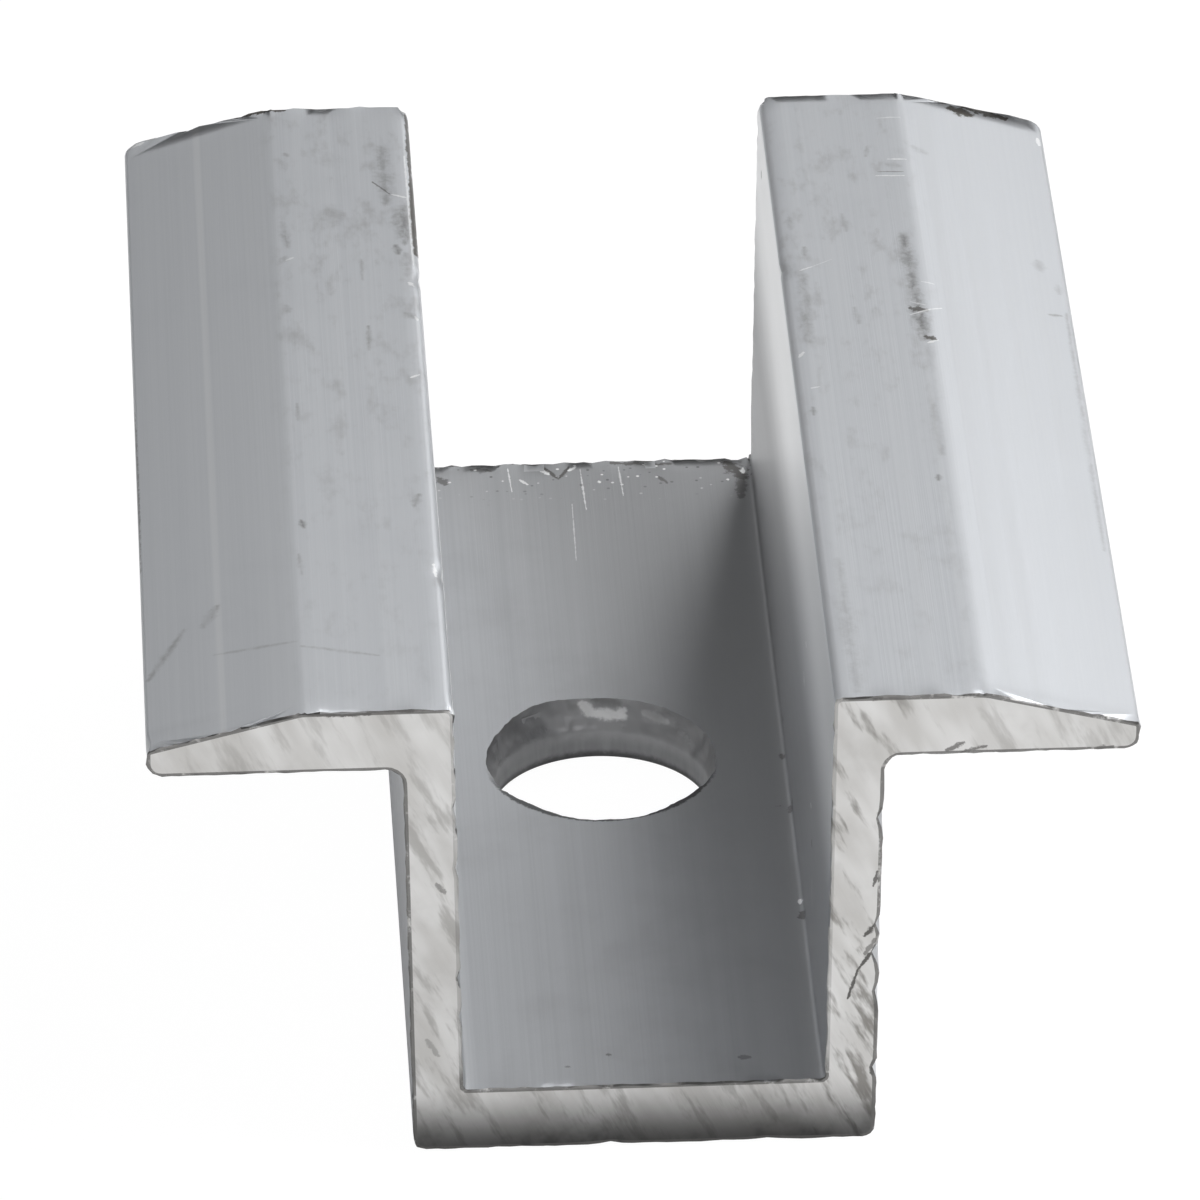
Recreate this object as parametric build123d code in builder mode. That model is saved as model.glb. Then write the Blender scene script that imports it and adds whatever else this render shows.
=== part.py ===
"""Mid clamp for framed solar modules: one length of hat-section aluminium extrusion.

The section is a channel that drops between two neighbouring module frames, with a flange on each
side that bears on the frames. A bolt passes down through the punched hole in the channel floor.
The piece is sawn square to length at both ends and is a single solid.

Frame: X across the flanges, Y along the extrusion, Z up. The origin is on the underside of the
channel floor, at the middle of the length and midway between the flange tips. Millimetres.
"""

import os

from build123d import *

# ---- Section: heights, from the underside of the channel floor ----
floor_thickness = 2.9
seat_height = 18.4  # underside of the flanges, which bears on the module frames
land_thickness = 2.8  # flange, from the channel mouth out to the crease
tip_thickness = 1.2  # flange, at its outer edge

# ---- Section: widths ----
clamp_width = 40.0  # over both flange tips
mouth_width = 15.3  # inside the channel, at the top
channel_floor_width = 14.8  # inside the channel, at its floor
web_thickness = 2.1
land_width = 6.1  # flat top of a flange, from the channel mouth to the crease

# ---- Section: corners ----
heel_radius = 0.5  # outside, where a web meets the channel floor
floor_corner_radius = 0.2  # inside, where a web meets the channel floor
root_radius = 0.7  # under a flange, where it meets its web
mouth_radius = 0.35  # top edge of the channel mouth
crease_radius = 2.0  # between the flat land and the sloping part of a flange
tip_top_radius = 0.2
tip_under_radius = 0.6

# ---- Length ----
clamp_length = 50.0
knocked_corner_radius = 0.7  # plan corners of both flange tips at the +Y end

# ---- Bolt hole, punched upwards from the underside ----
bore_diameter = 9.3  # the burnished land, which clears an M8 bolt
bore_land_height = 1.4
breakout_diameter = 9.8  # where the fracture opens into the channel
entry_radius = 0.25  # rolled edge where the punch went in
bore_x = -0.5  # sideways from the middle of the channel
bore_y = 0.2  # along from the middle of the length

# ---- Worked out from the sizes above ----
top_height = seat_height + land_thickness
wall_lean = (mouth_width - channel_floor_width) / 2 / (top_height - floor_thickness)
crease_x = mouth_width / 2 + land_width
tip_x = clamp_width / 2


def inside_of_web(height):
    """Distance of a web's inner face from the middle plane. The webs lean apart towards the top."""
    return mouth_width / 2 - wall_lean * (top_height - height)


def outside_of_web(height):
    """Distance of a web's outer face from the middle plane."""
    return inside_of_web(height) + web_thickness


# Corners of the right half of the section, as (distance from the middle plane, height)
heel = (outside_of_web(0), 0)
root = (outside_of_web(seat_height), seat_height)
tip_under = (tip_x, seat_height)
tip_top = (tip_x, seat_height + tip_thickness)
crease = (crease_x, top_height)
mouth = (inside_of_web(top_height), top_height)
floor_corner = (inside_of_web(floor_thickness), floor_thickness)

corner_radii = {
    heel: heel_radius,
    root: root_radius,
    tip_under: tip_under_radius,
    tip_top: tip_top_radius,
    crease: crease_radius,
    mouth: mouth_radius,
    floor_corner: floor_corner_radius,
}


def both_sides(outline, corner):
    """The outline's vertices at a corner of the right half and at its mirror image on the left."""
    distance, height = corner
    return [
        outline.vertices().sort_by_distance((side * distance, height))[0] for side in (1, -1)
    ]


with BuildPart() as clamp_body:
    # The extruded bar: half of the outline is drawn, mirrored and rounded, then given its length
    with BuildSketch(Plane.XZ) as section:
        with BuildLine():
            Polyline(
                (0, 0),
                heel,
                root,
                tip_under,
                tip_top,
                crease,
                mouth,
                floor_corner,
                (0, floor_thickness),
            )
            mirror(about=Plane.YZ)
        make_face()
        for corner, radius in corner_radii.items():
            fillet(both_sides(section, corner), radius=radius)
    extrude(amount=clamp_length / 2, both=True)

    # The flange tips' corners at the +Y end are knocked round; those at the -Y end stay sharp
    with BuildSketch():
        Rectangle(clamp_width, clamp_length)
        with BuildSketch(mode=Mode.SUBTRACT) as kept_plan:
            Rectangle(clamp_width, clamp_length)
            fillet(kept_plan.vertices().group_by(Axis.Y)[-1], radius=knocked_corner_radius)
    extrude(amount=top_height, mode=Mode.SUBTRACT)

    # The punched hole: rolled entry, burnished land, then the fracture that widens upwards
    with BuildSketch(Plane.XZ.offset(-bore_y)) as punch:
        with BuildLine():
            bore_wall = Polyline(
                (bore_x + breakout_diameter / 2, floor_thickness),
                (bore_x + bore_diameter / 2, bore_land_height),
                (bore_x + bore_diameter / 2, entry_radius),
            )
            entry = TangentArc(
                bore_wall @ 1,
                (bore_x + bore_diameter / 2 + entry_radius, 0),
                tangent=(0, -1),
            )
            Polyline(entry @ 1, (bore_x, 0), (bore_x, floor_thickness), bore_wall @ 0)
        make_face()
    revolve(axis=Axis((bore_x, bore_y, 0), (0, 0, 1)), mode=Mode.SUBTRACT)

clamp_body.part.label = "clamp_body"

os.makedirs("parts", exist_ok=True)
export_step(clamp_body.part, "parts/clamp_body.step")
print("clamp_body", clamp_body.part.bounding_box().size, "volume", round(clamp_body.part.volume))
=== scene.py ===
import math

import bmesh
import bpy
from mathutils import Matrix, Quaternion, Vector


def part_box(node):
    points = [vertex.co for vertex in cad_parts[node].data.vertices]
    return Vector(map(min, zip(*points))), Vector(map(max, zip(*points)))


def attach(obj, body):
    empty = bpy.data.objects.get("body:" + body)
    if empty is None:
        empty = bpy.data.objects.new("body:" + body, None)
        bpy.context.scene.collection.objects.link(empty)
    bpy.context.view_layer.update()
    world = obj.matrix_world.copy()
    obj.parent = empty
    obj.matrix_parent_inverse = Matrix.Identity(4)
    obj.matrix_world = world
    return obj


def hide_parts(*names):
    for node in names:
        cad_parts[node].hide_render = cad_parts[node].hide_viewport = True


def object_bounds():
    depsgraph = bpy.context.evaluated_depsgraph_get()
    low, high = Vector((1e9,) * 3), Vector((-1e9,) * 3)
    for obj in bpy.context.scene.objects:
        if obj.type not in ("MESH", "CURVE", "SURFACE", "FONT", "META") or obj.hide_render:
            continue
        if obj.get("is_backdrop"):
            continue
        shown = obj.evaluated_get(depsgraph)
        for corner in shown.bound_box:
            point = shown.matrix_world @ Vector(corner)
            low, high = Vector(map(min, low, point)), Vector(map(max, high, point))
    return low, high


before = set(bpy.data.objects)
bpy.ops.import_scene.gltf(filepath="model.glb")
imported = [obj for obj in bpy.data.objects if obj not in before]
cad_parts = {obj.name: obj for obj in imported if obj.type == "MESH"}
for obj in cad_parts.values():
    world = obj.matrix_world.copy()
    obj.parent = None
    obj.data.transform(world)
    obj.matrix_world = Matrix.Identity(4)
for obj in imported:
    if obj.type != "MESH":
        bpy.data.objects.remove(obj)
cad_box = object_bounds()

# %% [markdown]
# # A mid clamp for framed solar modules
#
# The clamp is one piece of aluminium. A die gives it its hat section, a saw cuts it to length and a
# punch makes the bolt hole. The solid model already has the section and the hole. This lesson
# remodels the same piece with what the solid leaves out: the saw's burrs, the torn upper half of
# the punched hole, knocks along the edges, and the finish that each process leaves on the metal.

MM = 0.001
low, high = (Vector(corner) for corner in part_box("clamp_body"))
tip_x, rear, top = high.x, high.y, high.z
front = low.y

floor_thickness = 2.9 * MM
seat = 18.4 * MM  # height of the flanges' underside
tip_thickness = 1.2 * MM
mouth = 15.3 * MM / 2  # half the channel's width at its mouth
channel_foot = 14.8 * MM / 2  # and at its floor
web_thickness = 2.1 * MM
crease_x = mouth + 6.1 * MM
bore_x, bore_y = -0.5 * MM, 0.2 * MM
bore_radius, breakout_radius = 4.65 * MM, 4.9 * MM
land_height = 1.4 * MM  # burnished part of the bore
entry_radius = 0.25 * MM
lean = (mouth - channel_foot) / (top - floor_thickness)
slope = (top - seat - tip_thickness) / (tip_x - crease_x)


def inside_of_web(height):
    return mouth - lean * (top - height)


def outside_of_web(height):
    return inside_of_web(height) + web_thickness


print("clamp box, mm:", [round(size / MM, 2) for size in high - low])

# %% [markdown]
# ## Working in edit mode without a mouse
#
# The operators act on whatever is selected. Where a person clicks an edge, a script says where the
# edge is, so two small helpers do the clicking: one opens a mesh for editing, and one selects the
# vertices, edges or faces that pass a test.

# %% Helpers for edit mode
def edit(piece):
    """Leave everything else unselected and open this piece in edit mode."""
    if bpy.context.object and bpy.context.object.mode != "OBJECT":
        bpy.ops.object.mode_set(mode="OBJECT")
    bpy.ops.object.select_all(action="DESELECT")
    piece.select_set(True)
    bpy.context.view_layer.objects.active = piece
    bpy.ops.object.mode_set(mode="EDIT")


def pick(kind, test):
    """Select the VERT, EDGE or FACE elements that pass the test, and nothing else."""
    bpy.ops.mesh.select_mode(type=kind)
    bpy.ops.mesh.select_all(action="DESELECT")
    mesh = bmesh.from_edit_mesh(bpy.context.edit_object.data)
    elements = {"VERT": mesh.verts, "EDGE": mesh.edges, "FACE": mesh.faces}[kind]
    chosen = [element for element in elements if test(element)]
    for element in chosen:
        element.select_set(True)
    mesh.select_flush_mode()
    bmesh.update_edit_mesh(bpy.context.edit_object.data)
    return len(chosen)


def middle(edge):
    return (edge.verts[0].co + edge.verts[1].co) / 2


def near(a, b, reach=0.01 * MM):
    return abs(a - b) < reach


def pull(x=0.0, y=0.0, z=0.0):
    """Extrude the selection by a move."""
    bpy.ops.mesh.extrude_region_move(TRANSFORM_OT_translate={"value": (x, y, z)})


def apply_modifiers(piece):
    bpy.ops.object.mode_set(mode="OBJECT")
    bpy.context.view_layer.objects.active = piece
    for modifier in list(piece.modifiers):
        bpy.ops.object.modifier_apply(modifier=modifier.name)


# %% [markdown]
# ## The bar, as the die gives it
#
# A die pushes out one section for the whole length, so the bar is a flat strip pulled along Y. The
# strip could be a filled curve, but then its inside has no edges to work with. Here half of it is
# walked out from a plane, one wall at a time, the way the metal runs: channel floor, web, flange.

# %% Half of the section
bpy.ops.object.select_all(action="DESELECT")
bpy.ops.mesh.primitive_plane_add(size=1, rotation=(math.pi / 2, 0, 0))
clamp = bpy.context.object
clamp.name = "clamp_extrusion"
clamp.data.name = "clamp_extrusion"
clamp.scale = (channel_foot, floor_thickness, 1)
clamp.location = (channel_foot / 2, front, floor_thickness / 2)
bpy.ops.object.transform_apply(location=True, rotation=True, scale=True)

edit(clamp)
pick("EDGE", lambda edge: near(middle(edge).x, channel_foot))
pull(x=outside_of_web(floor_thickness) - channel_foot)
pick("EDGE", lambda edge: near(middle(edge).z, floor_thickness) and middle(edge).x > channel_foot)
pull(x=lean * (seat - floor_thickness), z=seat - floor_thickness)
pull(x=lean * (top - seat), z=top - seat)
pick("EDGE", lambda edge: seat < middle(edge).z < top and middle(edge).x > outside_of_web(seat))
pull(x=crease_x - outside_of_web(top))
pull(x=tip_x - crease_x)
pick("VERT", lambda vert: near(vert.co.x, tip_x, 0.1 * MM) and near(vert.co.z, top))
bpy.ops.transform.translate(value=(0, 0, seat + tip_thickness - top))
pick("VERT", lambda vert: near(vert.co.x, tip_x, 0.1 * MM))
bpy.ops.transform.resize(value=(0, 1, 1), center_override=(tip_x, 0, 0))
pick("VERT", lambda vert: vert.co.x > channel_foot and near(vert.co.z, 0))
bpy.ops.transform.translate(value=(outside_of_web(0) - outside_of_web(floor_thickness), 0, 0))
print("half the section:", len(bmesh.from_edit_mesh(clamp.data).faces), "faces")

# %% Pulled to length and mirrored
bpy.ops.mesh.select_all(action="SELECT")
pull(y=rear - front)
bpy.ops.mesh.select_all(action="SELECT")
bpy.ops.mesh.normals_make_consistent(inside=False)
pick("FACE", lambda face: all(near(vert.co.x, 0) for vert in face.verts))
bpy.ops.mesh.delete(type="FACE")
bpy.ops.object.mode_set(mode="OBJECT")
mirror = clamp.modifiers.new("other half", "MIRROR")
mirror.use_clip = True
mirror.merge_threshold = 0.001 * MM
apply_modifiers(clamp)
print("bar:", len(clamp.data.polygons), "faces")

# %% [markdown]
# ## Corners
#
# A die can't be cut with sharp corners, so every long edge of an extrusion is rounded, each by its
# own amount. The Bevel operator takes its width along the faces, so a radius is turned into a width
# with the angle the metal turns through. Both flange tips have also been knocked round at the far
# end, which is a bevel of the short upright edges, made first so that the long ones can follow it.

# %% Round the corners
def bevel(radius, turn=90, segments=3):
    """Round the selected edges. Turn is how far the surface changes direction there, in degrees."""
    width = radius * math.tan(math.radians(turn) / 2)
    bpy.ops.mesh.bevel(offset_type="OFFSET", offset=width, segments=segments, affect="EDGES")


def along(edge, from_middle, height):
    """Whether an edge runs the length of the bar at this distance from the middle and height."""
    at = middle(edge)
    long = edge.calc_length() > 0.5 * (rear - front)
    return long and near(abs(at.x), from_middle) and near(at.z, height)


slope_turn = math.degrees(math.atan(slope))
edit(clamp)
pick("EDGE", lambda edge: near(middle(edge).y, rear) and near(abs(middle(edge).x), tip_x))
bevel(0.7 * MM, segments=5)

corners = [
    ("heel", outside_of_web(0), 0, 0.5 * MM, 90, 4),
    ("channel floor corner", channel_foot, floor_thickness, 0.2 * MM, 90, 3),
    ("flange root", outside_of_web(seat), seat, 0.7 * MM, 90, 5),
    ("mouth", mouth, top, 0.35 * MM, 90, 4),
    ("crease", crease_x, top, 2.0 * MM, slope_turn, 4),
]
for name, from_middle, height, radius, turn, segments in corners:
    found = pick("EDGE", lambda edge: along(edge, from_middle, height))
    bevel(radius, turn, segments)
    print(name, found, "edges rounded to", round(radius / MM, 2), "mm")


def tip_edge(edge, up):
    """Whether an edge parts a flange tip from the face above it, for up 1, or below it, for up -1."""
    if len(edge.link_faces) != 2 or abs(middle(edge).x) < crease_x + 2 * MM:
        return False
    tip, flat = sorted(edge.link_faces, key=lambda face: abs(face.normal.z))
    return abs(tip.normal.z) < 0.2 and abs(tip.normal.y) < 0.99 and flat.normal.z * up > 0.9


pick("EDGE", lambda edge: tip_edge(edge, 1))
bevel(0.2 * MM, 90 - slope_turn, 3)
pick("EDGE", lambda edge: tip_edge(edge, -1))
bevel(0.6 * MM, 90, 5)
print("faces now:", len(bmesh.from_edit_mesh(clamp.data).faces))
bpy.ops.object.mode_set(mode="OBJECT")

# %% [markdown]
# ## Enough faces to knock about
#
# The bar is exact but coarse. Burrs and nicks need vertices to move, and only near the surface, so
# the ends become one face each and every long wall is cut into strips and stations. Cutting edges
# in half until none is too long keeps the strips even, whatever the wall's width. Each end gets a
# narrow rim of its own: the rim can be ragged while the sawn face inside it stays flat.

# %% Strips along the bar
def along_bar(edge):
    return abs((edge.verts[0].co - edge.verts[1].co).normalized().y) > 0.99


def on_end(face):
    return abs(face.normal.y) > 0.99 and near(abs(face.calc_center_median().y), rear)


edit(clamp)
strip_width = 0.6 * MM
while pick("EDGE", lambda edge: edge.calc_length() > strip_width and not along_bar(edge)):
    bpy.ops.mesh.subdivide(number_cuts=1)
print("faces after strips:", len(bmesh.from_edit_mesh(clamp.data).faces))

# %% A rounded arris and a rim at both sawn ends
def arris(edge):
    """An edge of a sawn end: one face is the end, and the other runs along the bar."""
    if len(edge.link_faces) != 2 or not near(abs(middle(edge).y), rear):
        return False
    one, other = (abs(face.normal.y) for face in edge.link_faces)
    return max(one, other) > 0.99 and min(one, other) < 0.3


arris_width, rim_width = 0.06 * MM, 0.1 * MM
pick("EDGE", arris)
bpy.ops.mesh.bevel(offset_type="OFFSET", offset=arris_width, segments=1, affect="EDGES")
count = pick("FACE", on_end)
bpy.ops.mesh.inset(thickness=rim_width)
print(count, "sawn ends given an arris and a rim")

# %% Stations along the length
def long_edge(edge):
    return along_bar(edge) and edge.calc_length() > 0.8 * (rear - front)


stations = 80
pick("EDGE", long_edge)
bpy.ops.mesh.subdivide(number_cuts=stations - 1)
print("faces after stations:", len(bmesh.from_edit_mesh(clamp.data).faces))
bpy.ops.object.mode_set(mode="OBJECT")

# %% [markdown]
# ## The punched hole
#
# A punch shears the floor for about half its thickness and leaves a bright round wall there, the
# land. The rest tears off with the slug, so the hole opens out towards the channel and its wall and
# rim are rough. A boolean with one tool shape gives both. The tool starts as a cylinder the size of
# the land, its ends are pulled out and scaled ring by ring, and only the rings that tear are shaken.

# %% The punch's shape
bpy.ops.object.select_all(action="DESELECT")
bpy.ops.mesh.primitive_cylinder_add(
    vertices=192,
    radius=bore_radius,
    depth=land_height - entry_radius,
    location=(bore_x, bore_y, (land_height + entry_radius) / 2),
)
punch = bpy.context.object
punch.name = "punch"
bpy.ops.object.transform_apply(location=True, rotation=True, scale=True)


def pull_ring(height, radius):
    """Pull the selected end of the punch out to a height, and scale it to a radius."""
    mesh = bmesh.from_edit_mesh(bpy.context.edit_object.data)
    ring = [vert.co for vert in mesh.verts if vert.select]
    scale = radius / (ring[0] - Vector((bore_x, bore_y, ring[0].z))).length
    pull(z=height - ring[0].z)
    bpy.ops.transform.resize(value=(scale, scale, 1), center_override=(bore_x, bore_y, height))


edit(punch)
pick("FACE", lambda face: face.normal.z < -0.9)
for degrees in (20, 40, 60, 80, 90):
    swing = math.radians(degrees)
    pull_ring(entry_radius * (1 - math.sin(swing)), bore_radius + entry_radius * (1 - math.cos(swing)))
pull_ring(-1 * MM, bore_radius + entry_radius)
pick("FACE", lambda face: face.normal.z > 0.9)
tear_steps = 9
for step in range(1, tear_steps + 1):
    share = step / tear_steps
    pull_ring(
        land_height + share * (floor_thickness - land_height),
        bore_radius + share**0.7 * (breakout_radius - bore_radius),
    )
pull_ring(floor_thickness + 1 * MM, breakout_radius + 0.05 * MM)
bpy.ops.object.mode_set(mode="OBJECT")

torn = punch.vertex_groups.new(name="torn")
torn.add([vert.index for vert in punch.data.vertices if vert.co.z > land_height - 0.01 * MM], 1, "ADD")
for scale, depth in ((1.3 * MM, 0.12 * MM), (0.35 * MM, 0.14 * MM)):
    tear = bpy.data.textures.new("tear", "CLOUDS")
    tear.noise_scale = scale
    tear.noise_depth = 3
    shake = punch.modifiers.new("tear", "DISPLACE")
    shake.texture = tear
    shake.texture_coords = "LOCAL"
    shake.vertex_group = "torn"
    shake.strength = depth
    shake.mid_level = 0.5
apply_modifiers(punch)
print("punch:", len(punch.data.polygons), "faces")

# %% Cut the hole
edit(clamp)
bpy.ops.mesh.select_all(action="SELECT")
bpy.ops.mesh.remove_doubles(threshold=0.002 * MM)
pick("FACE", lambda face: len(face.verts) > 4)
bpy.ops.mesh.quads_convert_to_tris()
bpy.ops.object.mode_set(mode="OBJECT")
cut = clamp.modifiers.new("punched hole", "BOOLEAN")
cut.operation = "DIFFERENCE"
cut.solver = "EXACT"
cut.object = punch
apply_modifiers(clamp)
bpy.data.objects.remove(punch)
print("punched bar:", len(clamp.data.polygons), "faces")

# %% Put the mesh in a fixed order
# The boolean hands back the same metal in a new order each run, and Randomize goes by that order.
bpy.context.scene.cursor.location = (3.1 * mouth, 1.7 * rear, -2.3 * top)
edit(clamp)
bpy.ops.mesh.select_all(action="SELECT")
bpy.ops.mesh.sort_elements(type="CURSOR_DISTANCE", elements={"VERT", "EDGE", "FACE"})
bpy.ops.object.mode_set(mode="OBJECT")
bpy.context.scene.cursor.location = (0, 0, 0)

# %% [markdown]
# ## Ragged edges
#
# A saw pushes a little metal over each edge that it leaves, and handling knocks the edges further.
# None of it is more than a few tenths of a millimetre, but a straight, clean edge would look drawn.
# Noise in a material can't change an outline, so the vertices of the rims are moved: Randomize for
# the raggedness all round, and soft-edged pushes, with proportional editing, for single knocks.

# %% Shake the sawn rims
def from_bore(point):
    return math.hypot(point.x - bore_x, point.y - bore_y)


def shake(amount, seed, along_normal=0.0):
    bpy.ops.transform.vertex_random(offset=amount, uniform=1.0, normal=along_normal, seed=seed)


edit(clamp)
sawn_rim = 0.07 * MM
count = pick("VERT", lambda vert: rear - abs(vert.co.y) < sawn_rim and abs(vert.normal.y) < 0.97)
shake(0.025 * MM, 1)
print(count, "vertices on the sawn edges shaken")


def on_flange_arris(vert):
    at_arris = near(abs(vert.co.y), rear - arris_width, 0.5 * arris_width)
    return at_arris and vert.co.z > seat + 0.5 * MM


def on_rear_floor_edge(vert):
    return vert.co.y > rear - 0.1 * MM and abs(vert.co.x) < channel_foot and vert.co.z > 2 * MM


pick("VERT", on_flange_arris)
shake(0.035 * MM, 2)
count = pick("VERT", on_rear_floor_edge)
shake(0.07 * MM, 3)
print(count, "vertices of the channel floor's rear edge shaken further")

# %% Single knocks
def knock(x, y, z, push, reach, falloff="SHARP"):
    """Push the metal near a place, less and less out to the reach. Everything is in millimetres."""
    place, push = Vector((x, y, z)) * MM, Vector(push) * MM
    mesh = bmesh.from_edit_mesh(bpy.context.edit_object.data)
    nearest = min((vert.co - place).length for vert in mesh.verts)
    pick("VERT", lambda vert: (vert.co - place).length <= nearest + 0.001 * MM)
    bpy.ops.transform.translate(
        value=push,
        use_proportional_edit=True,
        use_proportional_connected=True,
        proportional_edit_falloff=falloff,
        proportional_size=reach * MM,
    )


knocks = [
    # flange tips: nicks along the outer arris of the right one, and a burr at the left rear corner
    (20, 23.1, 19.0, (-0.09, 0, 0), 0.5),
    (20, 8.7, 19.0, (-0.1, 0, 0), 0.5),
    (20, -11.1, 19.0, (-0.08, 0, 0), 0.5),
    (20, -24.6, 19.0, (-0.06, 0.1, -0.1), 0.6),
    (-20, -24.5, 19.5, (0.15, 0.05, -0.05), 0.9),
    (-19.3, 24.9, 19.7, (0, 0, 0.12), 0.5),
    # outer edge of the right web at the -Y end
    (9.67, -25, 15.5, (-0.2, 0.1, 0), 0.8),
    (9.6, -25, 10.3, (-0.18, 0.12, 0), 0.7),
    (9.58, -25, 8.7, (-0.3, 0.2, 0), 0.9),
    (9.55, -25, 6.9, (-0.15, 0.1, 0), 0.8),
    (9.5, -25, 3.5, (-0.2, 0.1, 0), 0.6),
    # inner edge of the left web there, and the base
    (-7.6, -25, 16.6, (-0.12, 0.05, 0), 0.5),
    (-7.55, -25, 13.7, (-0.1, 0.05, 0), 0.5),
    (-7.47, -25, 8.2, (-0.12, 0.05, 0), 0.5),
    (-7.44, -25, 6.3, (-0.12, 0.05, 0), 0.5),
    (-1.5, -25, 0, (0, 0.05, 0.08), 1.6),
    (5.0, -25, 0, (0, 0.05, 0.07), 1.4),
    # mouth edges of the channel
    (-7.7, 10.2, 21.2, (-0.1, 0, -0.08), 0.7),
    (-7.7, -14.1, 21.2, (-0.1, 0, -0.08), 0.7),
    (7.7, 10.0, 21.2, (0.1, 0, -0.08), 0.7),
    (7.7, 24.9, 21.2, (0.15, -0.1, -0.12), 0.8),
    (-7.7, 24.9, 21.2, (-0.15, -0.1, -0.12), 0.8),
]
for x, y, z, push, reach in knocks:
    knock(x, y, z, push, reach)
print(len(knocks), "knocks made")

# %% The torn rim is not round: it bulges to the far left, and the near side held
knock(-3.0, 4.2, 2.9, (-0.04, 0.28, 0), 2.8, "SMOOTH")
knock(-3.5, -3.2, 2.9, (0.08, 0.2, 0), 2.4, "SMOOTH")
knock(2.9, -3.4, 2.9, (-0.09, 0.17, 0), 2.4, "SMOOTH")
bpy.ops.object.mode_set(mode="OBJECT")

# %% [markdown]
# ## Finishes
#
# Three processes left three finishes. The die drags fine straight lines along every long wall and
# leaves a soft grey shine that is wider across the lines than along them. The saw leaves a brighter,
# mottled face with broad slanting strokes. The punch leaves a dull torn wall over a rubbed one.
# Lines, smudges and strokes turn up in more than one finish, so each is a node group with named
# inputs, placed in a material with that finish's own values. Lengths in them are millimetres.

# %% Building node trees
def fill(tree, socket, value):
    """Wire a socket to another one, or set its value."""
    if isinstance(value, bpy.types.NodeSocket):
        tree.links.new(value, socket)
    else:
        socket.default_value = value


def add(tree, kind, options=None, **inputs):
    """Add a node, set its options, and fill its named inputs."""
    node = tree.nodes.new("ShaderNode" + kind)
    for option, value in (options or {}).items():
        setattr(node, option, value)
    for name, value in inputs.items():
        fill(tree, node.inputs[name.replace("_", " ")], value)
    return node


def maths(tree, operation, first, second=0.0):
    node = add(tree, "Math", {"operation": operation})
    fill(tree, node.inputs[0], first)
    fill(tree, node.inputs[1], second)
    return node.outputs[0]


def vector_maths(tree, operation, first, second):
    node = add(tree, "VectorMath", {"operation": operation})
    fill(tree, node.inputs[0], first)
    fill(tree, node.inputs[1], second)
    return node.outputs["Value" if operation in ("DOT_PRODUCT", "DISTANCE") else "Vector"]


def ramp(tree, value, start, end):
    """Ease from 0 to 1 while a value goes from start to end."""
    node = add(
        tree, "MapRange", {"interpolation_type": "SMOOTHSTEP"}, Value=value, From_Min=start, From_Max=end
    )
    return node.outputs["Result"]


def tint(tree, amount, first, second):
    """Go from one colour to another."""
    node = add(tree, "Mix", {"data_type": "RGBA"})
    for name, value in (("Factor_Float", amount), ("A_Color", first), ("B_Color", second)):
        fill(tree, [socket for socket in node.inputs if socket.identifier == name][0], value)
    return [socket for socket in node.outputs if socket.identifier == "Result_Color"][0]


def new_group(name, inputs, output):
    """Start a node group. Inputs are names with a socket kind and a first value."""
    tree = bpy.data.node_groups.new(name, "ShaderNodeTree")
    for label, kind, value in inputs:
        socket = tree.interface.new_socket(name=label, in_out="INPUT", socket_type="NodeSocket" + kind)
        socket.default_value = value
    tree.interface.new_socket(name=output, in_out="OUTPUT", socket_type="NodeSocketFloat")
    given = tree.nodes.new("NodeGroupInput").outputs
    return tree, given, tree.nodes.new("NodeGroupOutput").inputs[output]


def use(tree, group, **inputs):
    """Place a node group in a material."""
    node = tree.nodes.new("ShaderNodeGroup")
    node.node_tree = group
    for name, value in inputs.items():
        fill(tree, node.inputs[name.replace("_", " ")], value)
    return node.outputs[0]


# %% Drag lines: straight lines along Y, left by a tool that the metal slid past
drag_lines, given, result = new_group(
    "drag lines",
    [("Place", "Vector", (0, 0, 0)), ("Pitch", "Float", 0.3), ("Length", "Float", 60.0)],
    "Lines",
)
run = maths(drag_lines, "MULTIPLY", given["Pitch"], given["Length"])
sizes = add(drag_lines, "CombineXYZ", X=given["Pitch"], Y=run, Z=given["Pitch"]).outputs["Vector"]
stretched = vector_maths(drag_lines, "DIVIDE", given["Place"], sizes)
streaks = add(drag_lines, "TexNoise", Vector=stretched, Scale=1.0, Detail=2.0, Roughness=0.6)
drag_lines.links.new(ramp(drag_lines, streaks.outputs["Fac"], 0.3, 0.7), result)

# %% Smudges: cloudy patches where handling has rubbed dirt in
smudges, given, result = new_group(
    "smudges",
    [
        ("Place", "Vector", (0, 0, 0)),
        ("Size", "Float", 2.0),
        ("Cover", "Float", 0.3),
        ("Soft", "Float", 0.15),
    ],
    "Mask",
)
scale = maths(smudges, "DIVIDE", 1.0, given["Size"])
cloud = add(smudges, "TexNoise", Vector=given["Place"], Scale=scale, Detail=4.0, Roughness=0.62)
edge = maths(smudges, "SUBTRACT", 0.75, maths(smudges, "MULTIPLY", given["Cover"], 0.5))
far_edge = maths(smudges, "ADD", edge, given["Soft"])
smudges.links.new(ramp(smudges, cloud.outputs["Fac"], edge, far_edge), result)

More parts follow.
